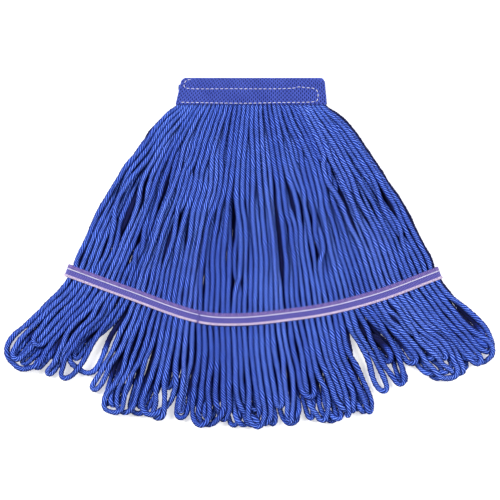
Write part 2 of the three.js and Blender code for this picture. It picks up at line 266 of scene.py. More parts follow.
def leg_route(across, end, drift, row, stray):
    """One leg from inside the headband to its end: columns x, y, z, way."""
    lean = 2 * across - 1
    mouth_x = BAND_CENTRES[0] + lean * (BAND_HALF_WIDTHS[0] - CORE_INSET)
    mouth = np.array([mouth_x, BAND_MOUTH_Y])
    inner = np.array([mouth_x - 0.6 * lean, CORE_START_Y])
    tape = on_tape(across)
    upper, lower = np.linalg.norm(tape - mouth), np.linalg.norm(end - tape)
    t = np.linspace(0, 1, 60)[:, None]
    line = np.vstack([
        inner + (mouth - inner) * t[:-1:8],
        hermite(mouth, tape, heading(lean * SPREAD_TOP, upper), heading(lean * SPREAD_TAPE, upper), t[:-1]),
        hermite(tape, end, heading(lean * SPREAD_TAPE, lower), heading(lean * SPREAD_END, lower), t),
    ])
    way = np.concatenate([-0.1 + 0.1 * t[:-1:8, 0], t[:-1, 0], 1 + t[:, 0]])
    line = resample(np.column_stack([line, np.zeros(len(line)), way]), STEP)
    way = line[:, 3]
    side = unit(np.gradient(line[:, :2], axis=0))[:, ::-1] * [1, -1]
    far = STEP * np.arange(len(line))
    aside = drift.aside(across, way, far)
    line[:, 2] = np.interp(way, WAY, ROW_Z[row])
    if stray:
        place, width, reach = stray
        aside = aside + reach * hump(way, place, width)
        line[:, 2] += STRAY_LIFT * hump(way, place, STRAY_LIFT_WIDTH * width)
    line[:, :2] += side * aside[:, None]
    return line


def leg_end(place, short, spread):
    """Where a leg turns, short of the outline; place counts legs from the left, spread blurs lobes."""
    section = np.searchsorted(SECTIONS, place)
    ends = []
    for aside in np.linspace(-spread, spread, 5):
        near = min(max(place + aside, SECTIONS[section - 1] + EDGE_MARGIN), SECTIONS[section] - EDGE_MARGIN)
        ends.append(lobe_end(near, short))
    return np.mean(ends, axis=0)


def lobe_end(place, short):
    """The point on the outline of the lobe that holds this place, drawn in by short."""
    first = 0
    for count, left, right in LOBES:
        if place <= first + 2 * count:
            break
        first += 2 * count
    share = (place - first) / (2 * count)
    left, right = np.array(left, float), np.array(right, float)
    along = unit(right - left)
    crown = LOBE_CROWN * (1 - (2 * share - 1) ** 2) - short
    return left + (right - left) * share + crown * np.array([along[1], -along[0]])


def join_legs(a, b):
    """The loop: down leg a, round its end and up leg b."""
    b = b[::-1]
    leave = unit(a[-1, :3] - a[-3, :3])
    arrive = unit(b[2, :3] - b[0, :3])
    gap = np.linalg.norm(b[0, :3] - a[-1, :3])
    bow = LOOP_BOW * max(gap, NARROWEST_LOOP)
    t = np.linspace(0, 1, max(6, round(0.6 * gap)))[1:-1, None]
    turn = hermite(a[-1, :3], b[0, :3], leave * bow, arrive * bow, t)
    return np.vstack([a, np.column_stack([turn, np.full(len(turn), 2.0)]), b])


def half_of_loops(groups, rows, seed, shift, bunching, sway, spread, strays):
    """The loops of the front or back half: (place of the loop's middle in legs, route)."""
    draw = np.random.default_rng(seed)
    drift = Drift(draw, bunching, sway)
    loops, first = [], 0
    for size in groups:
        pairs = PAIRINGS[size][draw.integers(len(PAIRINGS[size]))]
        for pair in pairs:
            places = [first + k + 0.5 + shift + draw.uniform(-PLACE_JITTER, PLACE_JITTER) for k in pair]
            places = [min(max(place, EDGE_MARGIN), LEGS - EDGE_MARGIN) for place in places]
            width = np.linalg.norm(leg_end(places[1], 0, spread) - leg_end(places[0], 0, spread))
            short = draw.uniform(0, UNEVEN_ENDS)
            short += draw.uniform(*SHORTER_STILL) if draw.random() < SHARE_OF_SHORT_LOOPS else 0
            legs = []
            for k, place in zip(pair, places):
                end = leg_end(place, 0.5 * width + YARN_RADIUS + short - SETTLING, spread)
                across = min(max((first + k + 0.5 + shift) / LEGS, 0.003), 0.997)
                legs.append(leg_route(across, end, drift, rows[(first + k) % 2], strays.get(first + k)))
            loops.append((sum(places) / 2, join_legs(*legs)))
        first += size
    return loops


# ---- settling: the yarns push each other apart and rest on each other ----


# The share of its height that the yarn loses at the tape and in the headband.
PRESSED_BY = 0.42


def pressed(way):
    """How flat the yarn is pressed, and how slim it is, along its way."""
    tape = hump(way, 1, 0.05)
    band = 1 - smooth((way + 0.01) / 0.1)
    return 1 - PRESSED_BY * tape - PRESSED_BY * band, np.interp(way, *FULLNESS)


def close_pairs(points, reach):
    """Index pairs of points nearer than reach, found by sorting them into cells."""
    cell = np.floor(points / reach).astype(np.int64)
    cell -= cell.min(axis=0) - 1
    size = cell.max(axis=0) + 3
    key = (cell[:, 0] * size[1] + cell[:, 1]) * size[2] + cell[:, 2]
    order = np.argsort(key, kind="stable")
    ranked = key[order]
    found = []
    for dx, dy, dz in np.ndindex(3, 3, 3):
        wanted = key + ((dx - 1) * size[1] + dy - 1) * size[2] + dz - 1
        low = np.searchsorted(ranked, wanted, "left")
        many = np.searchsorted(ranked, wanted, "right") - low
        i = np.repeat(np.arange(len(points)), many)
        within = np.arange(len(i)) - np.repeat(np.cumsum(many) - many, many)
        j = order[np.repeat(low, many) + within]
        found.append(np.column_stack([i, j])[i < j])
    pairs = np.vstack(found)
    far = np.linalg.norm(points[pairs[:, 0]] - points[pairs[:, 1]], axis=1)
    return pairs[far < reach]


SEARCH_EVERY = 6
SEARCH_REACH = 2.5 * YARN_RADIUS
# Points of one yarn that are at most this many apart don't push each other.
NEIGHBOURS = 6
# Two yarns touch at this share of the sum of their radii.
TOUCHING = 0.97
PUSH, LONGEST_PUSH = 0.42, 0.8
# Where two yarns cross, the one that started higher is helped over the other, near the crossing.
CROSSING_LIFT, CROSSING_AREA = 0.6, 4
SAG = 0.06
PULL_HOME, HELD_PULL_HOME, UPRIGHT_PULL = 0.02, 0.6, 0.8
HOLD = 0.93
STIFFNESS = 0.3
ROOF_MARGIN, FLOOR_MARGIN = 1.03, 1.15
UNKINK_ROUNDS, UNKINK_STEP = 60, 0.4
# Corners sharper than the first angle are rounded, in full from the sum of the two, in degrees.
SHARP, SHARPER = 22, 20


def settle(routes, girth, rounds):
    """The routes after pushing apart; girth is each yarn's own thickness, near 1."""
    sizes = [len(route) for route in routes]
    ends = np.cumsum(sizes)
    starts = ends - sizes
    data = np.vstack(routes)
    place, way = data[:, :3].copy(), data[:, 3]
    home = place.copy()
    index = np.arange(len(place))
    before, after = index - 1, index + 1
    before[starts], after[ends - 1] = starts, ends - 1
    yarn = np.repeat(np.arange(len(routes)), sizes)
    flat, slim = pressed(way)
    radius = YARN_RADIUS * slim * girth[yarn]
    roof = np.interp(way, WAY, TOP_Z) - ROOF_MARGIN * radius * flat
    base = np.interp(way, WAY, BOTTOM_Z) + FLOOR_MARGIN * radius * flat
    held = np.maximum(hump(way, 1, 0.045), 1 - smooth((way + 0.03) / 0.1))
    free = (1 - HOLD * held)[:, None]
    for turn in range(rounds):
        if turn % SEARCH_EVERY == 0:
            i, j = close_pairs(place, SEARCH_REACH).T
            strangers = (yarn[i] != yarn[j]) | (np.abs(i - j) > NEIGHBOURS)
            i, j = i[strangers], j[strangers]
            squash = 2 / (flat[i] + flat[j])
            touch = TOUCHING * (radius[i] + radius[j])
            over = np.where(home[i, 2] > home[j, 2], CROSSING_LIFT, -CROSSING_LIFT)
        apart = place[i] - place[j]
        crossing = np.exp(-(apart[:, :2] ** 2).sum(axis=1) / CROSSING_AREA)
        apart[:, 2] = apart[:, 2] * squash + over * crossing
        far = np.maximum(np.linalg.norm(apart, axis=1), 0.05)
        apart[:, 2] /= squash
        move = apart * (np.clip(touch - far, 0, None) / far * PUSH)[:, None]
        shift = np.stack([
            np.bincount(i, part, len(place)) - np.bincount(j, part, len(place)) for part in move.T], axis=1)
        along = unit(place[after] - place[before])
        shift -= along * (shift * along).sum(axis=1, keepdims=True)
        place += np.clip(shift, -LONGEST_PUSH, LONGEST_PUSH) * free
        place[:, 2:] -= SAG * free
        pull = PULL_HOME + HELD_PULL_HOME * held[:, None]
        place += (home - place) * pull * [1, 1, UPRIGHT_PULL]
        place += STIFFNESS * (0.5 * (place[before] + place[after]) - place) * free
        place[:, 2] = np.clip(place[:, 2], base, roof)
    lines = [np.column_stack([unkinked(place[a:b]), way[a:b]]) for a, b in zip(starts, ends)]
    return [resample(line, STEP) for line in lines]


def unkinked(line):
    """The line with its sharp corners rounded."""
    line = line.copy()
    for _ in range(UNKINK_ROUNDS):
        along = unit(np.diff(line, axis=0))
        bend = np.degrees(np.arccos(np.clip((along[1:] * along[:-1]).sum(axis=1), -1, 1)))
        share = np.convolve(np.clip((bend - SHARP) / SHARPER, 0, 1), [0.5, 1, 0.5], "same")
        chord = 0.5 * (line[:-2] + line[2:]) - line[1:-1]
        line[1:-1] += UNKINK_STEP * np.clip(share, 0, 1)[:, None] * chord
    return line


# ---- meshes ----


NO_TRIANGLES = np.zeros((0, 3), int)


def build(name, parts, materials):
    """One mesh object from parts, each (vertices in mm, quads, triangles, attributes)."""
    base, verts, quads, tris, extra = 0, [], [], [], {}
    for part_verts, part_quads, part_tris, attributes in parts:
        verts.append(part_verts)
        quads.append(part_quads + base)
        tris.append(part_tris + base)
        for key, values in attributes.items():
            extra.setdefault(key, []).append(values)
        base += len(part_verts)
    verts, quads, tris = np.vstack(verts), np.vstack(quads), np.vstack(tris)
    mesh = bpy.data.meshes.new(name)
    mesh.vertices.add(len(verts))
    mesh.vertices.foreach_set("co", (verts * MM).astype(np.float32).ravel())
    corners = np.concatenate([quads.ravel(), tris.ravel()]).astype(np.int32)
    mesh.loops.add(len(corners))
    mesh.loops.foreach_set("vertex_index", corners)
    loop_start = np.concatenate([4 * np.arange(len(quads)), 4 * len(quads) + 3 * np.arange(len(tris))])
    mesh.polygons.add(len(loop_start))
    mesh.polygons.foreach_set("loop_start", loop_start.astype(np.int32))
    mesh.polygons.foreach_set("use_smooth", np.ones(len(loop_start), bool))
    mesh.update(calc_edges=True)
    for key, values in extra.items():
        values = np.concatenate(values).astype(np.float32)
        vector = values.ndim == 2
        layer = mesh.attributes.new(key, "FLOAT_VECTOR" if vector else "FLOAT", "POINT")
        layer.data.foreach_set("vector" if vector else "value", values.ravel())
    for material in materials:
        mesh.materials.append(material)
    obj = bpy.data.objects.new(name, mesh)
    bpy.context.scene.collection.objects.link(obj)
    return obj


def sweep(path, side, up, outline, attributes=None):
    """A closed tube: outline holds each ring's points as (rings, points, 2) along side and up."""
    rings, cols = outline.shape[:2]
    offset = side[:, None] * outline[..., :1] + up[:, None] * outline[..., 1:]
    verts = np.vstack([(path[:, None] + offset).reshape(-1, 3), path[:1], path[-1:]])
    first = np.arange(rings - 1)[:, None] * cols
    k, after = np.arange(cols), (np.arange(cols) + 1) % cols
    quads = np.stack([first + k, first + after, first + cols + after, first + cols + k], axis=-1)
    quads = quads.reshape(-1, 4)
    last, centre = (rings - 1) * cols, rings * cols
    near_cap = np.stack([np.full(cols, centre), after, k], axis=-1)
    far_cap = np.stack([np.full(cols, centre + 1), last + k, last + after], axis=-1)
    padded = {key: np.concatenate([v, v[:1], v[-1:]]) for key, v in (attributes or {}).items()}
    return verts, quads, np.vstack([near_cap, far_cap]), padded


def frame_along(path, up):
    """Unit side and up vectors square to the path, with up near the given direction."""
    along = unit(np.gradient(path, axis=0))
    side = unit(np.cross(along, np.broadcast_to(up, path.shape)))
    return side, np.cross(side, along)


def ellipse(rings, half_width, half_height, sides=6):
    """The outline of a tube that is the same ellipse all along."""
    angle = 2 * np.pi * np.arange(sides) / sides
    ring = np.stack([half_width * np.cos(angle), half_height * np.sin(angle)], axis=-1)
    return np.tile(ring, (rings, 1, 1))


# Waves along a yarn: their height, their length in mm for each radian, and how the phase moves them.
THICK_AND_THIN = ((0.05, 9, 3), (0.045, 3.7, 5), (0.03, 2.1, 11))
UNEVEN_TWIST = ((0.7, 7.3, 2), (0.4, 3.1, 13))
# Lumps on the plies: their length in mm for each radian, and how the ply and the phase move them.
LUMPS = ((1.3, 9, 4), (2.3, 23, 7))
PLY_CORE, PLY_HEIGHT, PLY_ROUNDNESS, LUMP_HEIGHT = 0.8, 0.2, 0.7, 0.04
# The fibres' pattern, in its own units: its radius, and how far it runs for each mm of yarn.
FIBRE_RADIUS, FIBRE_RUN = 2.5, 0.4


def ripples(far, phase, table):
    return sum(height * np.sin(far / length + turn * phase) for height, length, turn in table)


def plied(route, girth, phase, sides, step, outward):
    """A twisted yarn along a settled route, and its path.

    outward is 1 for the front half and -1 for the back one: the side that the yarn is seen from, which gets
    the painted highlight while the far side gets painted shade.
    """
    line = spline(route, step, 6)
    path, way = line[:, :3], line[:, 3]
    side, up = frame_along(path, (0, 0, 1))
    far = step * np.arange(len(path))
    flat, slim = pressed(way)
    radius = YARN_RADIUS * girth * slim * (1 + ripples(far, phase, THICK_AND_THIN))
    angle = 2 * np.pi * np.arange(sides) / sides
    crest = np.abs(np.cos(0.5 * PLIES * angle))
    twist = 2 * np.pi * far / TWIST_PITCH + phase + ripples(far, phase, UNEVEN_TWIST)
    turn = angle + twist[:, None]
    ply = np.floor(0.5 * PLIES * angle / np.pi + 0.5)
    lumps = sum(np.sin(far[:, None] / length + a * ply + b * phase) for length, a, b in LUMPS)
    reach = radius[:, None] * (PLY_CORE + PLY_HEIGHT * crest ** PLY_ROUNDNESS + LUMP_HEIGHT * lumps)
    outline = np.stack([reach * np.cos(turn), reach * np.sin(turn) * flat[:, None]], axis=-1)
    round_yarn = np.tile(angle, (len(path), 1))
    run = np.tile((FIBRE_RUN * far + 37 * phase)[:, None], (1, sides))
    fibre = np.stack([FIBRE_RADIUS * np.cos(round_yarn), FIBRE_RADIUS * np.sin(round_yarn), run], axis=-1)
    # Painted shade and highlight: how far each point of the surface faces the side the yarn is seen from,
    # for the material to darken the sides and the far face and to brighten the top; towards the loops' ends
    # both faces get it alike.
    painted_side_light = reach * np.sin(turn) / radius[:, None]
    loose = smooth((way - 1.5) / 0.35)[:, None]
    painted_side_light = (1 - loose) * outward * painted_side_light + loose * np.abs(painted_side_light)
    # The crest attribute carries painted shade into the grooves between the plies and a painted highlight
    # onto their crests.
    extra = {"crest": np.tile(crest, len(path)), "painted_side_light": painted_side_light.ravel(), "fibre": fibre.reshape(-1, 3)}
    return sweep(path, side, up, outline, extra), path


# ---- materials ----


def new_material(name, roughness, sheen, tint):
    material = bpy.data.materials.new(name)
    material.use_nodes = True
    nodes = material.node_tree.nodes
    shader = nodes["Principled BSDF"]
    shader.inputs["Roughness"].default_value = roughness
    shader.inputs["Specular IOR Level"].default_value = 0.25
    shader.inputs["Sheen Weight"].default_value = sheen
    shader.inputs["Sheen Roughness"].default_value = 0.4
    shader.inputs["Sheen Tint"].default_value = (*tint, 1)
    return material, nodes, material.node_tree.links, shader


def ramp(nodes, links, source, stops):
    node = nodes.new("ShaderNodeValToRGB")
    links.new(source, node.inputs["Fac"])
    elements = node.color_ramp.elements
    while len(elements) < len(stops):
        elements.new(0.5)
    for element, (at, colour) in zip(elements, stops):
        element.position = at
        element.color = (*colour, 1)
    return node.outputs["Color"]


def attribute(nodes, name, output="Fac"):
    node = nodes.new("ShaderNodeAttribute")
    node.attribute_name = name
    return node.outputs[output]


def mixed(nodes, links, kind, share, a, b):
    node = nodes.new("ShaderNodeMix")
    node.data_type = "RGBA"
    node.blend_type = kind
    for socket, value in zip((node.inputs[0], node.inputs[6], node.inputs[7]), (share, a, b)):
        if isinstance(value, bpy.types.NodeSocket):
            links.new(value, socket)
        else:
            socket.default_value = value if isinstance(value, (int, float)) else (*value, 1)
    return node.outputs[2]


def noise(nodes, links, vector, scale, detail=3):
    node = nodes.new("ShaderNodeTexNoise")
    node.inputs["Scale"].default_value = scale
    node.inputs["Detail"].default_value = detail
    links.new(vector, node.inputs["Vector"])
    return node.outputs["Fac"]


def bump(nodes, links, shader, height, strength, distance):
    node = nodes.new("ShaderNodeBump")
    node.inputs["Strength"].default_value = strength
    node.inputs["Distance"].default_value = distance
    links.new(height, node.inputs["Height"])
    links.new(node.outputs["Normal"], shader.inputs["Normal"])


def yarn_material(name, shade):
    material, nodes, links, shader = new_material(name, 0.85, 0.08, (0.5, 0.62, 1.0))
    # Painted shade and highlight by the crest attribute: near-black in the grooves between the plies, the
    # yarn's own blue near 0.85, a pale painted highlight on the ply crests.
    base = ramp(nodes, links, attribute(nodes, "crest"), [
        (0.0, (0.0, 0.005, 0.08)), (0.5, (0.006, 0.032, 0.28)),
        (0.85, (0.046, 0.118, 0.62)), (1.0, (0.18, 0.31, 1.0))])
    # Fibre streaks: the yarn's own fibre grain, whose palest stops are also painted highlight, glints on
    # the fibres.
    fibre = attribute(nodes, "fibre", "Vector")
    streak = noise(nodes, links, fibre, 3.2, 5)
    fibre_grain_and_painted_glints = ramp(nodes, links, streak, [
        (0.34, (0.30, 0.38, 0.55)), (0.5, (0.92, 0.94, 0.97)), (0.64, (2.3, 1.85, 1.3))])
    colour = mixed(nodes, links, "MULTIPLY", 0.9, base, fibre_grain_and_painted_glints)
    # Painted shade and highlight: by how far each point faces the side the yarn is seen from, the yarn's
    # sides and far face are darkened to near-black and its top is brightened.
    sides = ramp(nodes, links, attribute(nodes, "painted_side_light"), [
        (0.0, (0.0, 0.03, 0.14)), (0.35, (0.07, 0.16, 0.36)),
        (0.65, (0.58, 0.68, 0.88)), (0.88, (1.45, 1.42, 1.35))])
    colour = mixed(nodes, links, "MULTIPLY", 1.0, colour, sides)
    place = nodes.new("ShaderNodeTexCoord").outputs["Object"]
    tones = ramp(nodes, links, noise(nodes, links, place, 16.0, 2), [
        (0.3, (0.86, 0.86, 0.92)), (0.7, (1.12, 1.1, 1.04))])
    colour = mixed(nodes, links, "MULTIPLY", 1.0, colour, tones)
    links.new(mixed(nodes, links, "MULTIPLY", 1.0, colour, shade), shader.inputs["Base Color"])
    bump(nodes, links, shader, streak, 0.9, 0.0006)
    return material


FRONT_YARNS = [
    yarn_material("yarn_plain", (1.0, 1.0, 1.0)),
    yarn_material("yarn_pale", (1.22, 1.14, 1.07)),
    yarn_material("yarn_deep", (0.78, 0.82, 0.90)),
]

# ---- the yarns ----

SIDES, RING_STEP = (24, 1.2) if FINE else (12, 2.0)
BACK_SIDES, BACK_RING_STEP = (18, 1.5) if FINE else (12, 2.4)
SETTLE_ROUNDS = 220

# Front legs, by number, that wander over their neighbours: where on the way, how wide a bow, and how
# far aside in mm.
STRAYS = {
    4: (0.55, 0.16, 8), 15: (0.42, 0.14, -7), 30: (0.62, 0.13, -9), 31: (0.72, 0.1, 7), 38: (0.5, 0.12, 6),
    47: (0.7, 0.12, -8), 56: (0.35, 0.15, 6), 65: (0.62, 0.12, 9), 9: (0.75, 0.1, -6), 24: (0.8, 0.08, 6),
}


def blend_band(obj):
    """The yarn's placement, baked into its mesh."""
    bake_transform(obj)


def yarn_piece(name, routes, sides, step, draw, girths, materials, outward=1):
    """One piece of one or more yarns, and the path of each."""
    parts, paths = [], []
    for route, girth in zip(routes, girths):
        part, path = plied(route, girth, draw.uniform(0, 6.28), sides, step, outward)
        parts.append(part)
        paths.append(path)
    obj = build(name, parts, materials)
    blend_band(obj)
    return obj, paths


def declare_cord(path):
    path = path * MM


def make_yarns():
    draw = np.random.default_rng(5)
    front = half_of_loops(FRONT_GROUPS, (0, 1), 11, 0, 1.4, 2.6, 0.5, STRAYS)
    back = half_of_loops(BACK_GROUPS, (3, 2), 57, 0.5, 0.4, 0.6, 3.5, {})
    girth = draw.uniform(0.93, 1.06, len(front) + len(back))
    settled = settle([route for _, route in front + back], girth, SETTLE_ROUNDS)
    for n in range(len(front)):
        finish = FRONT_YARNS[draw.choice(3, p=[0.5, 0.25, 0.25])]
        node = f"front_loop_{n + 1:02d}"
        piece, (path,) = yarn_piece(
            f"yarn_{node}", [settled[n]], SIDES, RING_STEP, draw, [girth[n]], [finish])
        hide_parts(node, "yarn_core")
        declare_cord(path)
    edges = np.cumsum([0] + FRONT_GROUPS)
    for lobe in range(len(LOBES)):
        node = f"back_loops_{lobe + 1:02d}"
        members = [
            len(front) + k for k, (place, _) in enumerate(back) if edges[lobe] < place <= edges[lobe + 1]]
        routes, girths = [settled[k] for k in members], [girth[k] for k in members]
        finish = FRONT_YARNS[draw.choice(3)]
        if lobe in (0, len(LOBES) - 1):
            for k, (route, thick) in enumerate(zip(routes, girths)):
                name = f"yarn_{node}_{k + 1}"
                piece, (path,) = yarn_piece(
                    name, [route], BACK_SIDES, BACK_RING_STEP, draw, [thick], [finish], -1)
                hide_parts(node)
                declare_cord(path)
        else:
            piece, _ = yarn_piece(
                f"yarn_{node}", routes, BACK_SIDES, BACK_RING_STEP, draw, girths, [finish], -1)
            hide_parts(node)


# ---- the headband: lining, knitted mesh and seams ----

# Depths are measured into the webbing from its outer face.
LINING_DEPTH, LINING_STEP, LINING_COLUMNS = 0.55, 0.9, 90
MESH_DEPTH, MESH_PITCH = 0.45, 2.0
MESH_SWING, MESH_LIFT = 0.42, 0.1
MESH_THREAD = (0.62, 0.42)
MESH_RING_STEP = 0.5 if FINE else 1.0
STITCH = (0.34, 0.26)
STITCH_SPACING, STITCH_LENGTH, STITCH_SINK = 4.9, 3.3, 0.55
STITCH_LIFT = 0.3
DASH_STEP = 0.4


def band_edges(y):
    """The headband's left and right edges at a height, with its rounded top corners."""
    share = (y - BAND_MOUTH_Y) / (BAND_TOP_Y - BAND_MOUTH_Y)
    centre = BAND_CENTRES[0] + (BAND_CENTRES[1] - BAND_CENTRES[0]) * share
    half = BAND_HALF_WIDTHS[0] + (BAND_HALF_WIDTHS[1] - BAND_HALF_WIDTHS[0]) * share
    into = np.clip(y - (BAND_TOP_Y - BAND_CORNER), 0, BAND_CORNER)
    corner = BAND_CORNER - np.sqrt(BAND_CORNER ** 2 - into ** 2)
    return centre - half + corner, centre + half - corner


def fold_profile(depth, spacing):
    """Points (y, z) and outward directions from the front mouth over the fold to the back mouth."""
    low, high = BAND_LOW[2] + depth, BAND_HIGH[2] - depth
    radius = (high - low) / 2
    turn = np.linspace(np.pi / 2, -np.pi / 2, 40)
    over = np.column_stack([BAND_FOLD_Y + radius * np.cos(turn), FOLD_Z + radius * np.sin(turn)])
    line = np.vstack([[BAND_MOUTH_Y, high], over, [BAND_MOUTH_Y, low]])
    line = resample(np.column_stack([np.zeros(len(line)), line]), spacing)
    along = unit(np.gradient(line, axis=0))
    return line[:, 1:], np.column_stack([-along[:, 2], along[:, 1]]) * [-1, 1]


def headband_lining(material):
    """The webbing's closed inner sheet, folded over, with a thickness; near-black, it is painted shade in
    the holes of the knitted mesh laid over it.
    """
    outer_line, _ = fold_profile(LINING_DEPTH, LINING_STEP)
    inner_line, _ = fold_profile(WEBBING_THICKNESS, LINING_STEP)
    # Evened once more, because the first pass cuts its steps short round the fold.
    inner_line = resample(np.column_stack([np.zeros(len(inner_line)), inner_line]), LINING_STEP)[:, 1:]
    share = np.linspace(0, 1, len(outer_line))
    across = np.linspace(0, 1, LINING_COLUMNS)[:, None]
    grids = []
    for line in (outer_line, inner_line):
        at = np.linspace(0, 1, len(line))
        y, z = (np.interp(share, at, column) for column in line.T)
        left, right = band_edges(y)
        x = left + (right - left) * across
        grids.append(np.stack([x, np.broadcast_to(y, x.shape), np.broadcast_to(z, x.shape)], axis=-1))
    cols, rows = grids[0].shape[:2]
    outer = np.arange(cols * rows).reshape(cols, rows)
    a, b = outer[:-1, :-1], outer[1:, :-1]
    c, d = outer[1:, 1:], outer[:-1, 1:]
    faces = [np.stack([a, d, c, b], axis=-1).reshape(-1, 4),
             np.stack([a, b, c, d], axis=-1).reshape(-1, 4) + cols * rows]
    rim = np.concatenate([outer[:, 0], outer[-1, 1:], outer[-2::-1, -1], outer[0, -2:0:-1]])
    after = np.roll(rim, -1)
    faces.append(np.stack([rim, after, after + cols * rows, rim + cols * rows], axis=-1))
    verts = np.concatenate([grid.reshape(-1, 3) for grid in grids])
    return build("headband_lining", [(verts, np.vstack(faces), NO_TRIANGLES, {})], [material])


def headband_mesh(material):
    """Knitted threads over the fold, each swinging left and right so that they meet in turn."""
    profile, outward = fold_profile(MESH_DEPTH, MESH_RING_STEP)
    far = MESH_RING_STEP * np.arange(len(profile))
    left, right = band_edges(profile[:, 0])
    count = round((right[0] - left[0]) / MESH_PITCH)
    rings = ellipse(len(profile), *MESH_THREAD, sides=8 if FINE else 5)
    parts = []
    for k in range(count):
        swing = MESH_SWING * (-1) ** k * np.sin(np.pi * far / MESH_PITCH + 0.35 * np.sin(0.6 * k))
        lift = MESH_LIFT * np.cos(2 * np.pi * far / MESH_PITCH)
        x = left + (right - left) * (k + 0.5) / count + swing
        path = np.column_stack([x, profile + outward * lift[:, None]])
        out = np.column_stack([np.zeros(len(path)), outward])
        side, up = frame_along(path, out)
        parts.append(sweep(path, side, up, rings))
    return build("headband_mesh", parts, [material])


def dashes(line, up, spacing, length, size, sink):
    """Stitches along a line: short rounded threads whose ends dip into the cloth."""
    line = resample(np.asarray(line, float), DASH_STEP)
    up = np.asarray(up, float)
    steps = round(length / DASH_STEP)
    parts = []
    for start in range(0, len(line) - steps, round(spacing / DASH_STEP)):
        path = line[start:start + steps + 1].copy()
        t = np.linspace(0, 1, len(path))
        bow = np.sin(np.pi * t) ** 0.5
        path += up * (sink * (bow - 1))[:, None]
        side, high = frame_along(path, up)
        rings = ellipse(len(path), *size, sides=8) * (0.55 + 0.45 * bow)[:, None, None]
        parts.append(sweep(path, side, high, rings))
    return parts


def headband_seam(side, material):
    """The stitches on the front face (side 1) or the back face (side -1)."""
    face = BAND_HIGH[2] if side > 0 else BAND_LOW[2]
    line = spline(BAND_SEAM, 0.8)
    over = np.clip(line[:, 1] - BAND_FOLD_Y, 0, BAND_FOLD_RADIUS)
    drop = BAND_FOLD_RADIUS - np.sqrt(BAND_FOLD_RADIUS ** 2 - over ** 2)
    path = np.column_stack([line, face - side * drop + side * STITCH_LIFT])
    parts = dashes(path, (0, 0, side), STITCH_SPACING, STITCH_LENGTH, STITCH, STITCH_SINK)
    name = "front" if side > 0 else "back"
    obj = build(f"thread_headband_{name}", parts, [material])
    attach(obj, "headband")
    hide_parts(f"headband_stitch_{name}")
    return obj


def make_headband():
    lining = headband_lining(WEBBING_PAINTED_SHADE)
    mesh = headband_mesh(WEBBING)
    for obj in (lining, mesh):
        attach(obj, "headband")
        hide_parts("headband_webbing")
    seams = [headband_seam(1, THREAD), headband_seam(-1, THREAD)]


# ---- the tailband: tape, its stitch rows and its lap ----

RIB_PITCH, RIB_DEPTH = 1.9, 0.13
EDGE_WIDTH, EDGE_DROP = 0.7, 0.2
TAPE_GRID = 0.5 if FINE else 1.0
# Rows of thread on the tape: their place above its middle, how far they swing, pitch, radius and lift.
CHAIN_PLACE, CHAIN_SWING, CHAIN_PITCH, CHAIN_RADIUS, CHAIN_LIFT = 2.1, 0.33, 3.2, 0.27, 0.16
BRAID_PLACE, BRAID_SWING, BRAID_PITCH, BRAID_RADIUS, BRAID_LIFT = -4.9, 0.85, 5.6, 0.44, 0.3
# Short slanted threads: their upper end, how far they drop, their length and spacing in stations.
SLANT_TOP, SLANT_DROP, SLANT_STATIONS, SLANT_EVERY = 5.9, 3.1, 10, 5
SLANT_THREAD, SLANT_BOW, SLANT_SINK = (0.24, 0.14), 0.12, 0.06


def tape_ring():
    """Stations round the skirt from the lap's lower end to its upper end: middle, upward side, outward."""
    along = unit(np.gradient(TAPE_CURVE, axis=0))
    over = np.column_stack([-along[:, 1], along[:, 0], np.zeros(len(along))])
    index = np.arange(len(TAPE_CURVE))
    lower_end = index[TAPE_CURVE[:, 0] <= LAP_RIGHT_X][::-1]
    upper_end = index[TAPE_CURVE[:, 0] >= LAP_LEFT_X][::-1]
    half = (TAPE_FRONT_Z - TAPE_BACK_Z) / 2

    def run(picked, z, up):
        middle = np.column_stack([TAPE_CURVE[picked], z])
        return middle, over[picked], np.tile([0, 0, up], (len(picked), 1))

    def wrap(end, side, start_deg, stop_deg):
        angle = np.radians(np.linspace(start_deg, stop_deg, 28)[1:-1])[:, None]
        out = np.hstack([side * np.cos(angle) * along[end], np.sin(angle)])
        middle = np.append(TAPE_CURVE[end], half + TAPE_BACK_Z) + half * out
        return middle, np.tile(over[end], (len(out), 1)), out

    lap = smooth((LAP_RIGHT_X + 1.5 * LAP_RAMP - TAPE_CURVE[upper_end, 0]) / LAP_RAMP)
    pieces = [
        run(lower_end, np.full(len(lower_end), TAPE_FRONT_Z), 1),
        wrap(0, -1, 90, -90),
        run(index, np.full(len(index), TAPE_BACK_Z), -1),
        wrap(-1, 1, -90, 90),
        run(upper_end, TAPE_FRONT_Z + LAP_LIFT * lap, 1),
    ]
    return [np.vstack(column) for column in zip(*pieces)]


def woven_tape(ring, material):
    """The tape itself, with ribs that meet in chevrons at its middle."""
    middle, over, out = ring
    along = distances(middle)
    across = np.linspace(-0.5, 0.5, round(TAPE_WIDTH / TAPE_GRID) + 1)
    chevron = np.abs(across * TAPE_WIDTH)
    rib = 0.5 + 0.5 * np.cos(2 * np.pi * (along[:, None] + chevron) / RIB_PITCH)
    edge = 1 - smooth((0.5 - np.abs(across)) * TAPE_WIDTH / EDGE_WIDTH)
    height = TAPE_THICKNESS * (0.5 - EDGE_DROP * edge) + RIB_DEPTH * (rib - 1) * (1 - edge)
    outer = np.stack([np.broadcast_to(across * TAPE_WIDTH, rib.shape), height], axis=-1)
    under = np.linspace(0.5, -0.5, 5)
    depth = np.array([-0.25, -0.5, -0.5, -0.5, -0.25]) * TAPE_THICKNESS
    inner = np.stack([under * TAPE_WIDTH, depth], axis=-1)
    inner = np.broadcast_to(inner, (len(middle), *inner.shape))
    outline = np.concatenate([outer, inner], axis=1)
    share = np.concatenate([across + 0.5, under + 0.5])
    extra = {
        "across": np.tile(share, len(middle)),
        "rib": np.concatenate([rib, np.full((len(middle), len(under)), 0.5)], axis=1).ravel(),
    }
    obj = build("tailband", [sweep(middle, over, out, outline, extra)], [material])
    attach(obj, "strands")
    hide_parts("tailband_tape")
    return obj


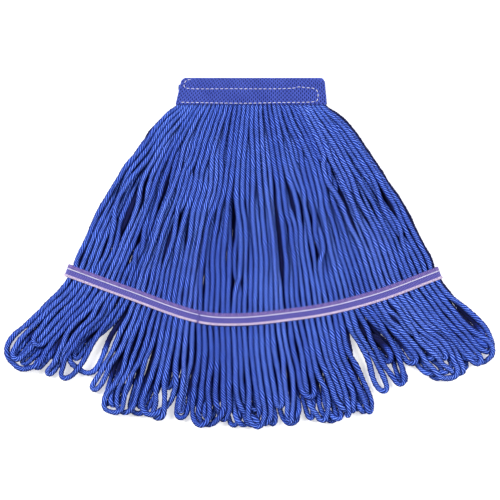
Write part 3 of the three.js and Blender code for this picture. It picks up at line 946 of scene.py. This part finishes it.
def make_tailband():
    ring = tape_ring()
    tape = woven_tape(ring, TAPE)
    middle, over, out = ring
    sewn = np.arange(len(middle)) > np.argmax(middle[:, 0] < LAP_LEFT_X - 1.5)
    middle, over, out = middle[sewn], over[sewn], out[sewn]
    along = distances(middle)

    def thread(offset, lift, radius):
        path = middle + over * offset[:, None] + out * (TAPE_THICKNESS / 2 + lift)[:, None]
        side, up = frame_along(path, out)
        return sweep(path, side, up, ellipse(len(path), radius, radius))

    chain = []
    for turn in (0, np.pi):
        swing = 2 * np.pi * along / CHAIN_PITCH + turn
        lift = CHAIN_LIFT + CHAIN_LIFT * np.cos(swing)
        chain.append(thread(CHAIN_PLACE + CHAIN_SWING * np.sin(swing), lift, CHAIN_RADIUS))
    braid = []
    for turn in (0, 2 * np.pi / 3, 4 * np.pi / 3):
        swing = 2 * np.pi * along / BRAID_PITCH + turn
        lift = BRAID_LIFT + BRAID_LIFT * np.sin(2 * swing)
        braid.append(thread(BRAID_PLACE + BRAID_SWING * np.sin(swing), lift, BRAID_RADIUS))
    slants = []
    for start in range(4, len(middle) - SLANT_STATIONS - 4, SLANT_EVERY):
        picked = slice(start, start + SLANT_STATIONS)
        t = np.linspace(0, 1, SLANT_STATIONS)
        path = middle[picked] + over[picked] * (SLANT_TOP - SLANT_DROP * t)[:, None]
        path += out[picked] * (TAPE_THICKNESS / 2 + SLANT_BOW * np.sin(np.pi * t) - SLANT_SINK)[:, None]
        side, up = frame_along(path, out[picked])
        slants.append(sweep(path, side, up, ellipse(SLANT_STATIONS, *SLANT_THREAD, sides=5)))

    for name, parts, finish, row in (
        ("thread_tailband_chain", chain, THREAD, "upper"),
        ("thread_tailband_slants", slants, THREAD_PINK, "upper"),
        ("thread_tailband_braid", braid, THREAD_BRAID, "lower"),
    ):
        obj = build(name, parts, [finish])
        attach(obj, "strands")
        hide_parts(f"tailband_stitch_front_{row}", f"tailband_stitch_back_{row}")


# ---- materials of the headband and the tailband ----


def webbing_material(name, dark, pale):
    material, nodes, links, shader = new_material(name, 0.75, 0.25, (0.6, 0.68, 1.0))
    place = nodes.new("ShaderNodeTexCoord").outputs["Object"]
    fine = noise(nodes, links, place, 2600, 3)
    colour = ramp(nodes, links, fine, [(0.3, dark), (0.7, pale)])
    patch = ramp(nodes, links, noise(nodes, links, place, 60, 2), [
        (0.3, (0.82, 0.84, 0.9)), (0.7, (1.12, 1.1, 1.05))])
    links.new(mixed(nodes, links, "MULTIPLY", 1.0, colour, patch), shader.inputs["Base Color"])
    bump(nodes, links, shader, fine, 0.5, 0.0003)
    return material


def tape_material():
    material, nodes, links, shader = new_material("tailband", 0.6, 0.3, (0.8, 0.75, 1.0))
    base = ramp(nodes, links, attribute(nodes, "across"), [
        (0.0, (0.14, 0.10, 0.40)), (0.2, (0.12, 0.09, 0.38)), (0.26, (0.07, 0.064, 0.34)),
        (0.62, (0.075, 0.068, 0.35)), (0.7, (0.10, 0.07, 0.33)), (1.0, (0.105, 0.075, 0.34))])
    ribs = ramp(nodes, links, attribute(nodes, "rib"), [
        (0.1, (0.3, 0.32, 0.55)), (0.55, (1, 1, 1)), (0.9, (2.9, 2.7, 1.5))])
    place = nodes.new("ShaderNodeTexCoord").outputs["Object"]
    fine = noise(nodes, links, place, 1500, 3)
    speckle = ramp(nodes, links, fine, [(0.35, (0.7, 0.7, 0.78)), (0.65, (1.3, 1.3, 1.15))])
    colour = mixed(nodes, links, "MULTIPLY", 0.9, base, ribs)
    links.new(mixed(nodes, links, "MULTIPLY", 0.8, colour, speckle), shader.inputs["Base Color"])
    bump(nodes, links, shader, fine, 0.4, 0.0003)
    return material


def thread_material(name, dark, pale):
    material, nodes, links, shader = new_material(name, 0.5, 0.3, (1.0, 0.95, 1.0))
    place = nodes.new("ShaderNodeTexCoord").outputs["Object"]
    fine = noise(nodes, links, place, 900, 3)
    links.new(ramp(nodes, links, fine, [(0.35, dark), (0.62, pale)]), shader.inputs["Base Color"])
    bump(nodes, links, shader, fine, 0.4, 0.0002)
    return material


WEBBING = webbing_material("webbing_thread", (0.034, 0.06, 0.36), (0.078, 0.125, 0.58))
# The near-black lining's colour is painted shade, seen through the holes of the knitted mesh.
WEBBING_PAINTED_SHADE = webbing_material("webbing_lining_painted_shade", (0.004, 0.008, 0.09), (0.012, 0.022, 0.18))
TAPE = tape_material()
THREAD = thread_material("thread_white", (0.50, 0.49, 0.70), (0.80, 0.79, 0.90))
THREAD_PINK = thread_material("thread_pink", (0.15, 0.10, 0.38), (0.36, 0.27, 0.54))
THREAD_BRAID = thread_material("thread_braid", (0.36, 0.25, 0.50), (0.78, 0.68, 0.80))


# ---- stage, light and camera ----


FLOOR_HALF = 3000


def make_stage():
    """A white floor that glows a little, so that it shows white as the photo's backdrop does."""
    corners = FLOOR_HALF * np.array([(-1, -1, 0), (1, -1, 0), (1, 1, 0), (-1, 1, 0)], float)
    material, _, _, shader = new_material("floor", 0.9, 0.0, (1, 1, 1))
    shader.inputs["Base Color"].default_value = (0.9, 0.9, 0.9, 1)
    shader.inputs["Emission Color"].default_value = (1, 1, 1, 1)
    shader.inputs["Emission Strength"].default_value = 0.52
    build("floor", [(corners, np.array([[0, 1, 2, 3]]), NO_TRIANGLES, {})], [material])


def area_light(name, place, size, power):
    light = bpy.data.lights.new(name, "AREA")
    light.size = size
    light.energy = power
    obj = bpy.data.objects.new(name, light)
    obj.location = place
    obj.rotation_euler = (-obj.location).to_track_quat("-Z", "Y").to_euler()
    bpy.context.scene.collection.objects.link(obj)


def make_studio():
    world = bpy.data.worlds.new("studio")
    bpy.context.scene.world = world
    world.use_nodes = True
    background = world.node_tree.nodes["Background"]
    background.inputs["Color"].default_value = (1, 1, 1, 1)
    background.inputs["Strength"].default_value = 0.22
    area_light("key", (-1.3, 0.7, 1.3), 0.8, 42)
    area_light("fill", (1.4, 0.2, 1.2), 0.9, 26)


def make_camera():
    camera = bpy.data.cameras.new("camera")
    camera.lens = 115
    camera.sensor_width = 36
    obj = bpy.data.objects.new("camera", camera)
    obj.location = (0.001, 0.005, 1.605)
    scene = bpy.context.scene
    scene.collection.objects.link(obj)
    scene.camera = obj
    scene.view_settings.view_transform = "Standard"


make_camera()
make_yarns()
make_headband()
make_tailband()
make_stage()
make_studio()
